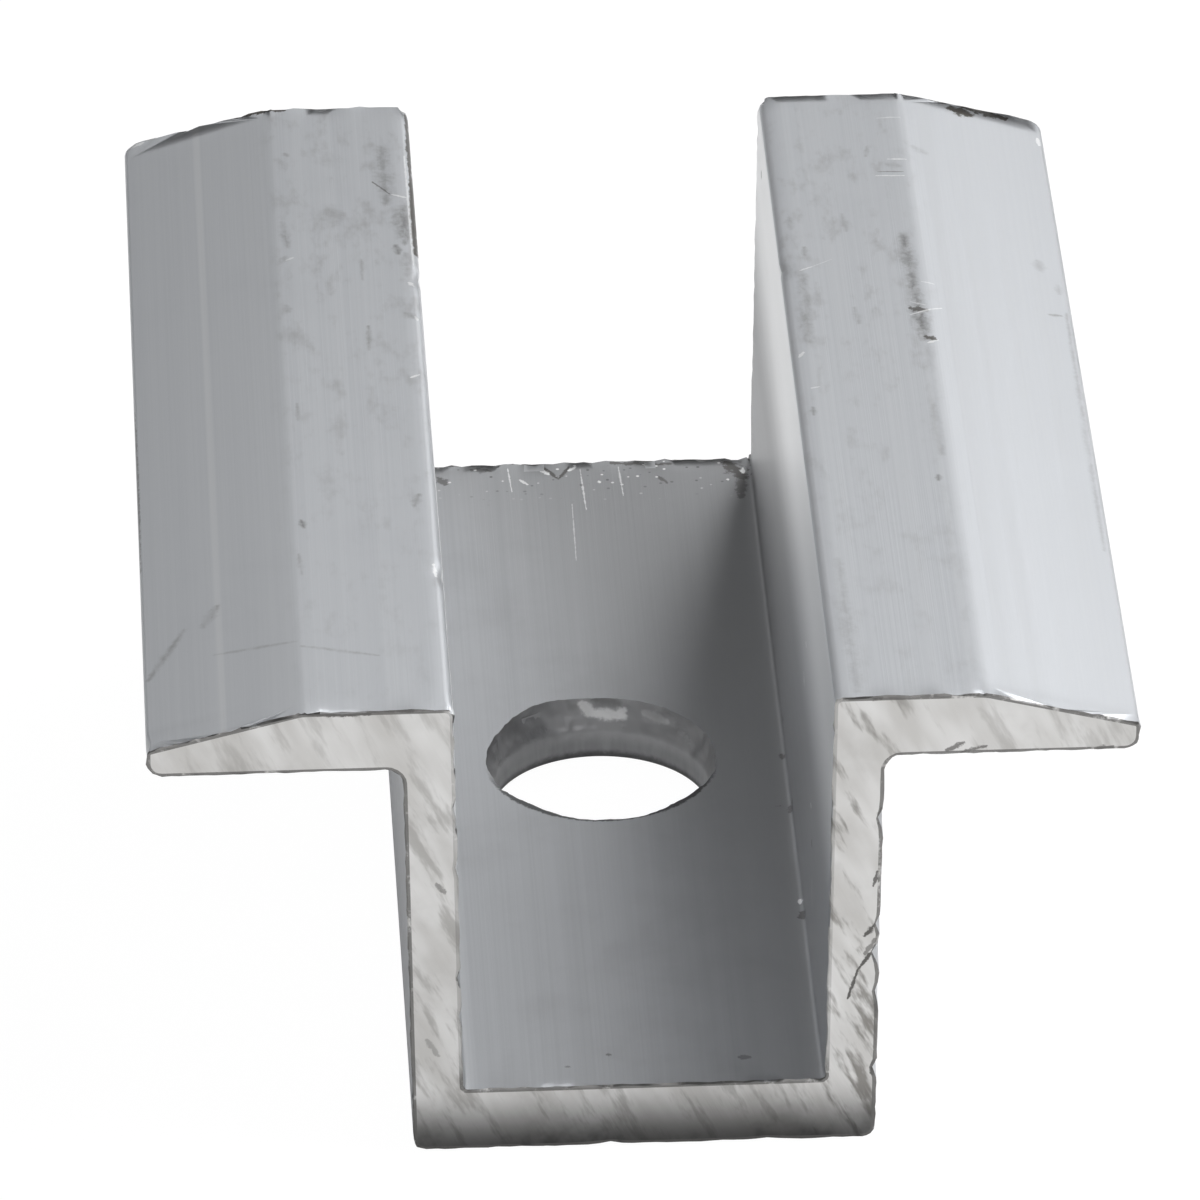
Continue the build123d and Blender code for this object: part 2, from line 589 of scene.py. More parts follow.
# %% A stroke: a ragged scratch or rub from a start, along a span
stroke, given, result = new_group(
    "stroke",
    [
        ("Place", "Vector", (0, 0, 0)),
        ("Start", "Vector", (0, 0, 0)),
        ("Span", "Vector", (0, 0, 0)),
        ("Per span", "Vector", (0, 0, 0)),
        ("Half width", "Float", 0.1),
        ("Core", "Float", 0.5),
        ("Raggedness", "Float", 0.0),
    ],
    "Mask",
)
from_start = vector_maths(stroke, "SUBTRACT", given["Place"], given["Start"])
share = add(stroke, "Clamp", Value=vector_maths(stroke, "DOT_PRODUCT", from_start, given["Per span"]))
on_span = add(stroke, "VectorMath", {"operation": "SCALE"}, Scale=share.outputs[0])
fill(stroke, on_span.inputs[0], given["Span"])
off_line = vector_maths(stroke, "DISTANCE", from_start, on_span.outputs[0])
from_halfway = maths(stroke, "ABSOLUTE", maths(stroke, "SUBTRACT", share.outputs[0], 0.5))
tapered = maths(stroke, "MULTIPLY", given["Half width"], maths(stroke, "SUBTRACT", 1.1, from_halfway))
widths = maths(stroke, "ADD", maths(stroke, "DIVIDE", off_line, tapered), given["Raggedness"])
stroke.links.new(ramp(stroke, widths, 1.0, given["Core"]), result)


def strokes(tree, face_place, raggedness, core, rows):
    """Join strokes into one mask. A row has a start and an end on the face, a half width, a strength."""
    mask = 0.0
    for start_x, start_y, end_x, end_y, half_width, strength in rows:
        start, end = Vector((start_x, start_y, 0)), Vector((end_x, end_y, 0))
        span = end - start
        one = use(
            tree, stroke, Place=face_place, Start=start, Span=span,
            Per_span=span / max(span.length_squared, 1e-6),
            Half_width=half_width, Core=core, Raggedness=raggedness,
        )
        mask = maths(tree, "MAXIMUM", mask, maths(tree, "MULTIPLY", one, strength))
    return mask


# %% Raggedness: how far a stroke's width strays, from place to place
ragged, given, result = new_group("raggedness", [("Place", "Vector", (0, 0, 0))], "Amount")
grain = add(ragged, "TexNoise", Vector=given["Place"], Scale=4.0, Detail=3.0, Roughness=0.7)
from_mean = maths(ragged, "SUBTRACT", grain.outputs["Fac"], 0.5)
ragged.links.new(maths(ragged, "MULTIPLY", from_mean, 2.6), result)

# %% Edge dirt and shade: dirt that sticks to the burr at the sawn edges, and painted shade under the burr, less inside the channel
edge_dirt_and_shade, given, result = new_group(
    "edge dirt and shade", [("Place", "Vector", (0, 0, 0)), ("Rim", "Float", 0.0)], "Mask"
)
clumps = use(edge_dirt_and_shade, smudges, Place=given["Place"], Size=0.9, Cover=0.9, Soft=0.15)
at = add(edge_dirt_and_shade, "SeparateXYZ", Vector=given["Place"]).outputs
inside_web = ramp(edge_dirt_and_shade, maths(edge_dirt_and_shade, "ABSOLUTE", at["X"]), mouth / MM + 0.5, mouth / MM + 0.15)
above_floor = ramp(edge_dirt_and_shade, at["Z"], floor_thickness / MM + 0.3, floor_thickness / MM + 1.5)
less_in_channel = maths(edge_dirt_and_shade, "MULTIPLY", maths(edge_dirt_and_shade, "MULTIPLY", inside_web, above_floor), 0.6)
clumps = maths(edge_dirt_and_shade, "MULTIPLY", clumps, maths(edge_dirt_and_shade, "SUBTRACT", 1.0, less_in_channel))
on_edge = ramp(edge_dirt_and_shade, given["Rim"], 0.4, 0.9)
edge_dirt_and_shade.links.new(maths(edge_dirt_and_shade, "MULTIPLY", clumps, on_edge), result)


# %% Shared start of every finish
def new_finish(name, roughness):
    """A metal, with the place on the piece in mm, its three parts, and raggedness for strokes."""
    material = bpy.data.materials.new(name)
    material.use_nodes = True
    tree = material.node_tree
    metal = tree.nodes["Principled BSDF"].inputs
    metal["Metallic"].default_value = 1.0
    metal["Roughness"].default_value = roughness
    spot = add(tree, "TexCoord").outputs["Object"]
    place = vector_maths(tree, "MULTIPLY", spot, (1 / MM, 1 / MM, 1 / MM))
    parts = add(tree, "SeparateXYZ", Vector=place).outputs
    return material, tree, metal, place, parts, use(tree, ragged, Place=place)


def bump(tree, metal, height, depth):
    """Raise the surface by a height mask, to a depth in millimetres."""
    node = add(tree, "Bump", Height=height, Distance=depth * MM, Strength=1.0)
    tree.links.new(node.outputs["Normal"], metal["Normal"])


def dirt_and_shade_on_edges(tree, place, colour):
    """Darken the colour at the faces that are marked as rim: dirt, and painted shade under the burrs."""
    rim = add(tree, "Attribute", {"attribute_name": "rim"}).outputs["Fac"]
    dirt = use(tree, edge_dirt_and_shade, Place=place, Rim=rim)
    return tint(tree, maths(tree, "MULTIPLY", dirt, 0.85), colour, (0.15, 0.147, 0.143, 1))


print("node groups:", [group.name for group in bpy.data.node_groups])

# %% [markdown]
# ### As extruded
#
# Satin metal is rough, but grooves that all run one way are rougher across than along, and they draw
# highlights out sideways. The shader's own anisotropy does that if it is told which way is across:
# the cross product of the surface's normal with the bar's direction. Colour follows the same lines.
# Three finishes share this start. The flange tops carry rubbed dirt, knocks and scratches, each
# placed where the real ones are, with the scratches painted near white as the highlights they catch
# and the left mouth's edge painted dark as its shade. The channel is sooty from the die, painted
# darker as shade on its right side and lighter as a sheen high on its walls, with painted highlights
# on small burrs, a dark rim of painted shade at the hole's near side, and flecks near its rear end of
# crumbs from the saw, the pale ones painted near white as their sparkle. The outside is plain, with
# broad faint patches.

# %% Die lines: fine and broad drag lines together, worn off in patches
die_lines, given, result = new_group("die lines", [("Place", "Vector", (0, 0, 0))], "Lines")
fine = use(die_lines, drag_lines, Place=given["Place"], Pitch=0.12, Length=260.0)
broad = use(die_lines, drag_lines, Place=given["Place"], Pitch=0.9, Length=90.0)
fine = maths(die_lines, "MULTIPLY", fine, 0.4)
both = maths(die_lines, "ADD", fine, maths(die_lines, "MULTIPLY", broad, 0.6))
patches = use(die_lines, smudges, Place=given["Place"], Size=6.0, Cover=0.45, Soft=0.3)
worn = maths(die_lines, "SUBTRACT", both, maths(die_lines, "MULTIPLY", patches, 0.55))
die_lines.links.new(worn, result)


# %% A start for the extruded finishes
def extruded_metal(name, dark, light):
    finish, tree, metal, place, parts, raggedness = new_finish(name, 0.43)
    metal["Anisotropic"].default_value = 0.85
    normal = add(tree, "NewGeometry").outputs["Normal"]
    tree.links.new(vector_maths(tree, "CROSS_PRODUCT", normal, (0, 1, 0)), metal["Tangent"])
    lines = use(tree, die_lines, Place=place)
    tree.links.new(maths(tree, "ADD", 0.41, maths(tree, "MULTIPLY", lines, 0.05)), metal["Roughness"])
    bump(tree, metal, lines, 0.004)
    return finish, tree, metal, place, parts, raggedness, tint(tree, lines, dark, light)


# %% Marks on the flange tops, as seen from above: start, end, half width, strength
top_rubs = [
    # left flange, beside the mouth
    (-8.9, 21.3, -8.85, 16.4, 0.6, 0.5),
    (-8.2, 16.0, -8.2, 13.4, 0.7, 0.7),
    (-8.1, 14.0, -8.2, 12.8, 0.35, 0.8),
    (-8.6, 12.7, -8.5, 12.0, 0.3, 0.7),
    (-8.2, 12.0, -8.1, 9.8, 0.4, 0.4),
    (-8.4, 6.9, -8.0, 6.5, 0.4, 0.5),
    (-8.4, -8.1, -8.6, -9.0, 0.3, 0.5),
    # left flange, middle and crease
    (-10.0, 5.9, -10.05, 3.9, 0.22, 0.5),
    (-10.1, 11.6, -10.1, 9.8, 0.14, 0.4),
    (-11.3, 16.2, -11.2, 14.6, 0.8, 0.22),
    (-11.2, 20.8, -11.1, 19.8, 0.8, 0.16),
    (-13.1, 21.0, -13.0, 20.8, 0.3, 0.4),
    (-13.4, 15.0, -13.2, 12.8, 0.35, 0.45),
    (-13.3, 12.0, -13.5, 11.5, 0.28, 0.4),
    (-13.4, 7.8, -13.3, 7.3, 0.28, 0.5),
    (-13.2, -0.4, -13.2, -1.8, 0.16, 0.4),
    (-13.3, -9.9, -13.2, -10.5, 0.24, 0.8),
    (-13.5, -12.6, -13.4, -14.2, 0.2, 0.35),
    # left flange, front
    (-19.8, -19.6, -18.3, -16.4, 0.3, 0.45),
    (-17.5, -16.5, -16.9, -15.2, 0.4, 0.45),
    (-17.1, -18.9, -13.8, -19.4, 0.2, 0.3),
    (-13.6, -19.8, -10.5, -20.7, 0.2, 0.35),
    # right flange, beside the mouth
    (8.6, 9.2, 8.45, 3.6, 0.55, 0.4),
    (8.35, 14.2, 8.35, 13.2, 0.3, 0.45),
    (8.8, 11.6, 8.8, 10.9, 0.25, 0.4),
    (8.3, -1.9, 8.3, -2.5, 0.25, 0.5),
    (8.5, -14.3, 8.6, -24.5, 0.5, 0.25),
    # right flange, middle and crease
    (12.1, 20.3, 12.0, 19.4, 0.2, 0.35),
    (10.6, 14.4, 10.7, 12.9, 0.25, 0.28),
    (10.6, 6.3, 10.7, 5.0, 0.3, 0.3),
    (12.9, 18.6, 13.3, 18.5, 0.5, 0.25),
    (13.1, 12.4, 13.25, 8.0, 0.5, 0.7),
    (13.2, 8.0, 13.4, 3.6, 0.6, 0.85),
    (13.2, 6.2, 13.5, 6.0, 0.45, 1.0),
    (13.4, 3.75, 13.7, 3.5, 0.4, 1.0),
    (13.1, -7.7, 13.1, -8.1, 0.24, 0.7),
    (13.3, -2.0, 13.4, -6.0, 0.4, 0.25),
    (14.1, 20.3, 14.6, 19.9, 0.4, 0.25),
    (18.9, 12.1, 18.9, 11.4, 0.45, 0.3),
    (19.5, 7.7, 19.0, 7.6, 0.2, 0.6),
    (19.6, 10.3, 19.6, 9.6, 0.3, 0.4),
    (19.75, 8.0, 19.7, -11.6, 0.22, 0.3),
]
top_burrs_and_shade = [
    (-14.7, 24.95, -13.0, 24.95, 0.28, 1.0),
    (16.1, 24.5, 16.8, 24.3, 0.5, 1.0),
    (16.6, 24.9, 18.4, 24.6, 0.36, 1.0),
    (15.2, 25.0, 16.0, 25.0, 0.2, 0.7),
    (-9.4, 18.3, -8.7, 17.2, 0.06, 0.6),
    (12.4, 18.0, 13.5, 17.95, 0.05, 0.5),
    (-20.0, -11.0, -20.0, 2.0, 0.12, 0.5),
    # along the mouth's left edge, painted dark as its shade, and in the deepest rub on the right crease
    (-7.74, 24.6, -7.74, 18.5, 0.12, 0.8),
    (-7.74, 18.5, -7.76, 12.0, 0.18, 0.9),
    (12.95, 6.15, 13.6, 6.0, 0.24, 0.8),
    (13.45, 3.75, 13.85, 3.5, 0.2, 0.8),
]
# Scratches, each painted near white as the highlight it catches: painted highlights on real scratches.
top_scratch_highlights = [
    (-8.6, 17.15, -8.0, 16.85, 0.08, 0.9),
    (-8.15, 9.5, -7.95, 9.2, 0.14, 1.0),
    (-8.0, 6.6, -7.9, 6.3, 0.1, 0.6),
    (-8.35, 1.5, -8.0, 1.7, 0.1, 1.0),
    (-7.95, 20.5, -7.9, 11.0, 0.07, 0.5),
    (-8.0, -13.7, -7.95, -14.6, 0.12, 0.9),
    (-13.3, 11.7, -13.0, 11.9, 0.07, 0.6),
    (12.7, 22.75, 13.7, 22.8, 0.06, 0.6),
    (12.9, 19.1, 13.7, 19.05, 0.07, 0.9),
    (12.3, 17.65, 13.5, 17.6, 0.07, 0.9),
    (8.5, 9.6, 9.0, 9.9, 0.07, 0.8),
    (9.0, 9.9, 9.9, 10.5, 0.04, 0.4),
    (8.0, 2.3, 8.2, 2.7, 0.1, 0.8),
    (8.35, -0.3, 8.7, -0.2, 0.08, 0.7),
    (12.9, 5.6, 14.3, 6.3, 0.07, 0.8),
    (13.0, 6.7, 13.6, 6.4, 0.06, 0.5),
    (13.6, 8.4, 14.1, 8.3, 0.06, 0.6),
    (13.5, 3.2, 13.95, 3.5, 0.09, 0.8),
    (19.75, 23.3, 19.8, 22.7, 0.12, 0.9),
    (-19.75, 24.6, -19.2, 24.8, 0.16, 1.0),
]
print(len(top_rubs), "rubs,", len(top_burrs_and_shade), "burrs and", len(top_scratch_highlights), "scratch_highlights")


# %% Flange tops: a finish for each flange, so that neither works out the other's marks
def flange_top(name, side):
    """The finish of the top on one side: -1 is the left, which has the die's stripe, and 1 the right."""
    finish, tree, metal, place, parts, raggedness, colour = extruded_metal(
        name, (0.585, 0.603, 0.63, 1), (0.625, 0.642, 0.666, 1)
    )
    from_above = add(tree, "CombineXYZ", X=parts["X"], Y=parts["Y"]).outputs["Vector"]

    def marks(stray, core, rows):
        here = [row for row in rows if row[0] * side > 0]
        return strokes(tree, from_above, stray, core, here)

    if side < 0:
        from_stripe = maths(tree, "ABSOLUTE", maths(tree, "ADD", parts["X"], 16.88))
        die_stripe = maths(tree, "MULTIPLY", ramp(tree, from_stripe, 0.22, 0.05), 0.4)
        colour = tint(tree, die_stripe, colour, (0.74, 0.75, 0.76, 1))

    drawn_out = vector_maths(tree, "MULTIPLY", place, (1, 0.45, 1))
    cloudy = use(tree, smudges, Place=drawn_out, Size=0.9, Cover=0.5, Soft=0.3)
    from_middle = maths(tree, "ABSOLUTE", parts["X"])
    inside_crease = ramp(tree, from_middle, crease_x / MM + 0.9, crease_x / MM - 0.6)
    rearward = ramp(tree, parts["Y"], -22, 16)
    cover = maths(tree, "ADD", 0.22, maths(tree, "MULTIPLY", rearward, 0.3))
    handling = maths(tree, "MULTIPLY", maths(tree, "MULTIPLY", cloudy, inside_crease), cover)
    colour = tint(tree, handling, colour, (0.36, 0.36, 0.365, 1))

    rubs = marks(maths(tree, "MULTIPLY", raggedness, 0.5), -0.3, top_rubs)
    broken_up = use(tree, smudges, Place=drawn_out, Size=0.55, Cover=0.75, Soft=0.2)
    broken_up = maths(tree, "ADD", 0.4, maths(tree, "MULTIPLY", broken_up, 0.6))
    colour = tint(tree, maths(tree, "MULTIPLY", rubs, broken_up), colour, (0.17, 0.165, 0.16, 1))
    colour = tint(tree, marks(raggedness, 0.5, top_burrs_and_shade), colour, (0.1, 0.093, 0.083, 1))
    # Painted highlights: the scratches are painted near white.
    scratch_highlights = maths(tree, "MULTIPLY", marks(raggedness, 0.4, top_scratch_highlights), 0.75)
    colour = tint(tree, scratch_highlights, colour, (0.95, 0.955, 0.96, 1))
    tree.links.new(dirt_and_shade_on_edges(tree, place, colour), metal["Base Color"])
    return finish


left_top = flange_top("extruded flange top, left", -1)
right_top = flange_top("extruded flange top, right", 1)

# %% Channel
channel, tree, metal, place, parts, raggedness, colour = extruded_metal(
    "extruded channel", (0.49, 0.502, 0.52, 1), (0.55, 0.562, 0.58, 1)
)
sooty = use(tree, smudges, Place=place, Size=4.5, Cover=0.6, Soft=0.35)
colour = tint(tree, maths(tree, "MULTIPLY", sooty, 0.22), colour, (0.34, 0.34, 0.35, 1))
# Painted shade: the channel's right side, in the shadow of the right web, is painted darker.
aslant = vector_maths(tree, "DOT_PRODUCT", place, (1, 0.2, 0))
shaded_side = maths(tree, "MULTIPLY", ramp(tree, aslant, -4.0, 7.0), 0.8)
colour = tint(tree, shaded_side, colour, (0.33, 0.335, 0.345, 1))
# Painted sheen: the walls are painted lighter towards their tops, where they mirror the bright paper.
painted_sheen_up_walls = ramp(tree, parts["Z"], 10.0, 18.0)
colour = tint(tree, painted_sheen_up_walls, colour, (0.9, 0.91, 0.92, 1))

from_above = add(tree, "CombineXYZ", X=parts["X"], Y=parts["Y"]).outputs["Vector"]
on_floor = ramp(tree, parts["Z"], floor_thickness / MM + 0.35, floor_thickness / MM + 0.15)
dents = strokes(tree, from_above, raggedness, 0.3, [
    (-3.1, -23.5, -3.0, -23.5, 0.16, 0.6),
    (-1.4, -22.7, -1.3, -22.7, 0.16, 0.7),
    (4.0, -23.2, 4.4, -23.2, 0.22, 0.6),
    (-6.5, 24.0, -6.2, 23.4, 0.3, 0.8),
    (-5.0, 24.6, -4.2, 24.5, 0.25, 0.7),
    (-1.9, 24.7, -1.2, 23.6, 0.16, 1.0),
    (-1.2, 23.6, -0.7, 24.6, 0.12, 1.0),
    (1.2, 24.8, 3.8, 24.6, 0.2, 0.9),
    (3.2, 23.6, 3.6, 23.0, 0.14, 0.8),
    (6.3, 24.7, 7.0, 23.3, 0.5, 1.0),
    (6.9, 23.2, 6.8, 21.6, 0.35, 0.7),
    # beside the right wall
    (7.2, 0.1, 7.25, -0.2, 0.2, 0.8),
    (7.3, -4.1, 7.3, -4.5, 0.22, 0.8),
    (7.25, -12.4, 7.3, -12.9, 0.25, 0.8),
])
dents = maths(tree, "MULTIPLY", maths(tree, "MULTIPLY", dents, on_floor), 0.85)
colour = tint(tree, dents, colour, (0.12, 0.115, 0.11, 1))
# Painted highlights: glints of small burrs on the floor, painted near white.
glints = strokes(tree, from_above, raggedness, 0.4, [
    (-0.7, 21.4, -0.75, 16.6, 0.04, 0.5),
    (-0.2, 24.4, -0.1, 20.9, 0.05, 0.7),
    (-3.4, 24.6, -3.3, 22.6, 0.05, 0.8),
    (1.5, 24.5, 1.6, 22.0, 0.05, 0.6),
    (-2.0, 24.5, -1.6, 24.0, 0.14, 1.0),
    (-0.7, 24.3, -0.4, 24.6, 0.12, 1.0),
    (-2.9, 23.6, -2.6, 23.2, 0.1, 0.9),
    (0.6, 23.2, 0.6, 23.3, 0.12, 1.0),
    (2.6, 24.7, 3.0, 24.6, 0.12, 0.9),
    (6.3, 23.1, 6.3, 23.2, 0.12, 1.0),
    (7.0, 23.7, 7.0, 24.1, 0.16, 1.0),
    (7.25, -11.4, 7.25, -11.7, 0.14, 1.0),
])
# Painted highlights on the right wall too.
from_side = add(tree, "CombineXYZ", X=parts["Z"], Y=parts["Y"]).outputs["Vector"]
on_right = ramp(tree, parts["X"], 6.0, 7.0)
wall_glints = strokes(tree, from_side, raggedness, 0.4, [
    (14.3, -9.4, 14.3, -9.7, 0.14, 1.0),
    (12.4, -8.7, 12.0, -9.1, 0.12, 0.7),
    (9.3, -14.0, 9.3, -14.3, 0.12, 0.9),
    (6.6, -15.6, 5.6, -16.0, 0.06, 0.6),
    (18.9, 6.0, 18.7, 5.4, 0.1, 0.7),
])
glints = maths(tree, "MULTIPLY", glints, on_floor)
glints = maths(tree, "MAXIMUM", glints, maths(tree, "MULTIPLY", wall_glints, on_right))
colour = tint(tree, glints, colour, (0.95, 0.955, 0.96, 1))
wall_dents = strokes(tree, from_side, raggedness, 0.3, [
    (3.4, 2.4, 3.3, 2.2, 0.22, 0.8),
    (3.1, -3.9, 3.1, -4.1, 0.24, 0.8),
    (8.0, -14.9, 8.0, -15.2, 0.2, 0.8),
    (19.0, 22.0, 19.0, 21.7, 0.3, 0.8),
    (14.0, 24.9, 11.0, 24.9, 0.12, 0.8),
])
colour = tint(tree, maths(tree, "MULTIPLY", wall_dents, on_right), colour, (0.13, 0.125, 0.12, 1))

# Painted shade: a dark line along the left mouth's rounded edge, which mirrors dark surroundings there.
on_left = ramp(tree, parts["X"], -6.0, -7.0)
mouth_edge_shade = strokes(tree, from_side, maths(tree, "MULTIPLY", raggedness, 1.5), 0.3, [
    (21.0, 24.6, 21.0, 19.0, 0.3, 0.9),
    (20.9, 19.0, 21.0, 12.0, 0.4, 0.95),
])
colour = tint(tree, maths(tree, "MULTIPLY", mouth_edge_shade, on_left), colour, (0.1, 0.097, 0.09, 1))

by_rear_cut = maths(tree, "MULTIPLY", ramp(tree, parts["Y"], rear / MM - 4.0, rear / MM - 1.0), on_floor)
crumb_cells = add(tree, "TexVoronoi", Vector=place, Scale=2.5).outputs
crumbs = maths(tree, "MULTIPLY", ramp(tree, crumb_cells["Distance"], 0.24, 0.12), by_rear_cut)
kinds = add(tree, "SeparateColor", Color=crumb_cells["Color"]).outputs
dark_crumbs = maths(tree, "MULTIPLY", crumbs, ramp(tree, kinds["Green"], 0.4, 0.44))
# Pale crumbs: real saw crumbs, painted near white as their sparkle, a painted highlight.
pale_crumbs_and_sparkle = maths(tree, "MULTIPLY", crumbs, ramp(tree, kinds["Red"], 0.7, 0.74))
colour = tint(tree, maths(tree, "MULTIPLY", dark_crumbs, 0.75), colour, (0.14, 0.14, 0.14, 1))
colour = tint(tree, pale_crumbs_and_sparkle, colour, (0.95, 0.95, 0.96, 1))

round_bore = add(tree, "CombineXYZ", X=bore_x / MM, Y=bore_y / MM).outputs["Vector"]
off_bore = vector_maths(tree, "DISTANCE", from_above, round_bore)
off_rim = maths(tree, "SUBTRACT", off_bore, breakout_radius / MM)
off_rim = maths(tree, "ADD", off_rim, maths(tree, "MULTIPLY", raggedness, 0.12))
# Painted shade: a dark line along the hole's near rim, the shade of its rolled-over lip.
near_half = ramp(tree, parts["Y"], 0.0, -2.5)
lip_painted_shade = maths(tree, "MULTIPLY", ramp(tree, off_rim, 0.15, 0.03), near_half)
lip_painted_shade = maths(tree, "MULTIPLY", lip_painted_shade, maths(tree, "MULTIPLY", on_floor, 0.85))
colour = tint(tree, lip_painted_shade, colour, (0.07, 0.07, 0.07, 1))
tree.links.new(dirt_and_shade_on_edges(tree, place, colour), metal["Base Color"])

# %% Outside walls and underneath
outside, tree, metal, place, parts, raggedness, colour = extruded_metal(
    "extruded outside", (0.57, 0.582, 0.6, 1), (0.63, 0.642, 0.658, 1)
)
drawn_out = vector_maths(tree, "MULTIPLY", place, (1, 0.45, 1))
cloudy = use(tree, smudges, Place=drawn_out, Size=1.6, Cover=0.4, Soft=0.3)
colour = tint(tree, maths(tree, "MULTIPLY", cloudy, 0.2), colour, (0.36, 0.36, 0.365, 1))
tree.links.new(dirt_and_shade_on_edges(tree, place, colour), metal["Base Color"])

# %% [markdown]
# ### As sawn
#
# The saw's teeth strike through the metal at a slant, so this face has broad slanting strokes and a
# warm mottling of worn-in dirt. Its rims hold more of it, darkened also as painted shade under their
# burrs, and the face is painted darker towards its foot as shade. The strokes are the same drag lines as
# the die's, but laid along the saw's direction by measuring each place across and along the stroke.

# %% The sawn finish
sawn, tree, metal, place, parts, raggedness = new_finish("sawn", 0.34)
slant = math.radians(64)
across = vector_maths(tree, "DOT_PRODUCT", place, (math.sin(slant), 0, math.cos(slant)))
down = vector_maths(tree, "DOT_PRODUCT", place, (math.cos(slant), 0, -math.sin(slant)))
saw_place = add(tree, "CombineXYZ", X=across, Y=down, Z=parts["Y"]).outputs["Vector"]
passes = use(tree, drag_lines, Place=saw_place, Pitch=1.5, Length=3.6)
teeth = use(tree, drag_lines, Place=saw_place, Pitch=0.3, Length=16.0)
mottle = use(tree, smudges, Place=place, Size=3.0, Cover=0.6, Soft=0.3)
colour = tint(tree, passes, (0.57, 0.561, 0.547, 1), (0.72, 0.716, 0.709, 1))
colour = tint(tree, maths(tree, "MULTIPLY", mottle, 0.3), colour, (0.47, 0.459, 0.443, 1))
from_web = maths(tree, "ABSOLUTE", maths(tree, "SUBTRACT", parts["X"], 9.0))
long_dirt = vector_maths(tree, "MULTIPLY", saw_place, (1, 0.2, 1))
ground_in = use(tree, smudges, Place=long_dirt, Size=0.75, Cover=0.5, Soft=0.16)
grimy = maths(tree, "ADD", 0.3, maths(tree, "MULTIPLY", ramp(tree, parts["Z"], 20.0, 15.0), 0.22))
grimy = maths(tree, "ADD", grimy, maths(tree, "MULTIPLY", ramp(tree, from_web, 2.2, 1.2), 0.45))
colour = tint(tree, maths(tree, "MULTIPLY", ground_in, grimy), colour, (0.26, 0.25, 0.236, 1))

# Painted shade: the cut face darkens towards its foot, where it mirrors the paper in the clamp's own
# shadow.
uneven = maths(tree, "ADD", 0.9, maths(tree, "MULTIPLY", mottle, 0.1))
painted_shade_low_down = maths(tree, "MULTIPLY", ramp(tree, parts["Z"], 3.2, 0.1), uneven)
colour = tint(tree, painted_shade_low_down, colour, (0.05, 0.05, 0.05, 1))

from_front = add(tree, "CombineXYZ", X=parts["X"], Y=parts["Z"]).outputs["Vector"]
gouges = strokes(tree, from_front, raggedness, 0.4, [
    (-13.5, 21.15, -11.0, 21.1, 0.16, 1.0),
    (-11.0, 21.2, -8.0, 21.2, 0.09, 0.9),
    (9.1, 21.25, 9.5, 21.15, 0.2, 0.8),
    (9.6, 15.9, 9.55, 15.2, 0.18, 1.0),
    (9.45, 12.9, 9.3, 12.2, 0.1, 0.9),
    (9.45, 10.4, 8.95, 9.8, 0.14, 1.0),
    (9.4, 9.6, 9.0, 8.9, 0.16, 0.7),
    (9.45, 9.2, 8.7, 8.2, 0.1, 1.0),
    (8.7, 8.2, 8.3, 6.8, 0.09, 1.0),
    (9.5, 6.6, 9.45, 6.2, 0.12, 0.9),
    (9.4, 3.7, 9.35, 3.1, 0.18, 1.0),
    (-7.5, 8.6, -7.5, 7.9, 0.14, 0.8),
    (-7.4, 6.5, -7.4, 6.0, 0.14, 0.9),
    (-8.4, 12.9, -8.1, 12.5, 0.18, 0.6),
    (12.2, 18.6, 12.9, 18.95, 0.14, 0.8),
    (12.8, 18.5, 13.8, 18.75, 0.12, 0.8),
    (18.2, 18.5, 18.9, 18.55, 0.13, 0.7),
    (-8.9, 5.4, -8.4, 4.6, 0.16, 0.4),
])
one_end = ramp(tree, parts["Y"], 1.0, -1.0)
colour = tint(tree, maths(tree, "MULTIPLY", gouges, one_end), colour, (0.13, 0.125, 0.12, 1))
tree.links.new(dirt_and_shade_on_edges(tree, place, colour), metal["Base Color"])
tree.links.new(maths(tree, "ADD", 0.32, maths(tree, "MULTIPLY", mottle, 0.12)), metal["Roughness"])
height = maths(tree, "ADD", maths(tree, "MULTIPLY", passes, 1.0), maths(tree, "MULTIPLY", teeth, 0.25))
bump(tree, metal, height, 0.03)

# %% [markdown]
# ### As punched
#
# The punch rubs upright lines into the land, whose top band is burnished and painted lighter, partly
# as a highlight. Above it the metal tore, and a chip has broken out of the torn wall on the far side,
# painted white as the highlight it catches: a long stroke bent down in its middle, with painted shade
# in the hollow above it. The foot of the bore is painted dark as shade. Drag lines serve again, laid
# along Z.

# %% The punched finish
punched, tree, metal, place, parts, raggedness = new_finish("punched", 0.42)
upright = add(tree, "CombineXYZ", X=parts["X"], Y=parts["Z"], Z=parts["Y"]).outputs["Vector"]
rubbed = use(tree, drag_lines, Place=upright, Pitch=0.35, Length=12.0)
wavy = maths(tree, "ADD", parts["Z"], maths(tree, "MULTIPLY", raggedness, 0.1))
torn = ramp(tree, wavy, land_height / MM - 0.1, land_height / MM + 0.12)
colour = tint(tree, rubbed, (0.36, 0.36, 0.37, 1), (0.41, 0.413, 0.42, 1))
colour = tint(tree, torn, colour, (0.47, 0.47, 0.477, 1))
patchy = use(tree, smudges, Place=place, Size=1.6, Cover=0.5, Soft=0.3)
colour = tint(tree, maths(tree, "MULTIPLY", patchy, 0.25), colour, (0.25, 0.25, 0.255, 1))
# Burnished band at the top of the land: real burnish, painted lighter as a highlight too.
burnish_and_highlight = maths(tree, "MULTIPLY", ramp(tree, wavy, land_height / MM - 0.7, land_height / MM), 0.75)
burnish_and_highlight = maths(tree, "MULTIPLY", burnish_and_highlight, maths(tree, "SUBTRACT", 1.0, torn))
colour = tint(tree, burnish_and_highlight, colour, (0.56, 0.565, 0.57, 1))
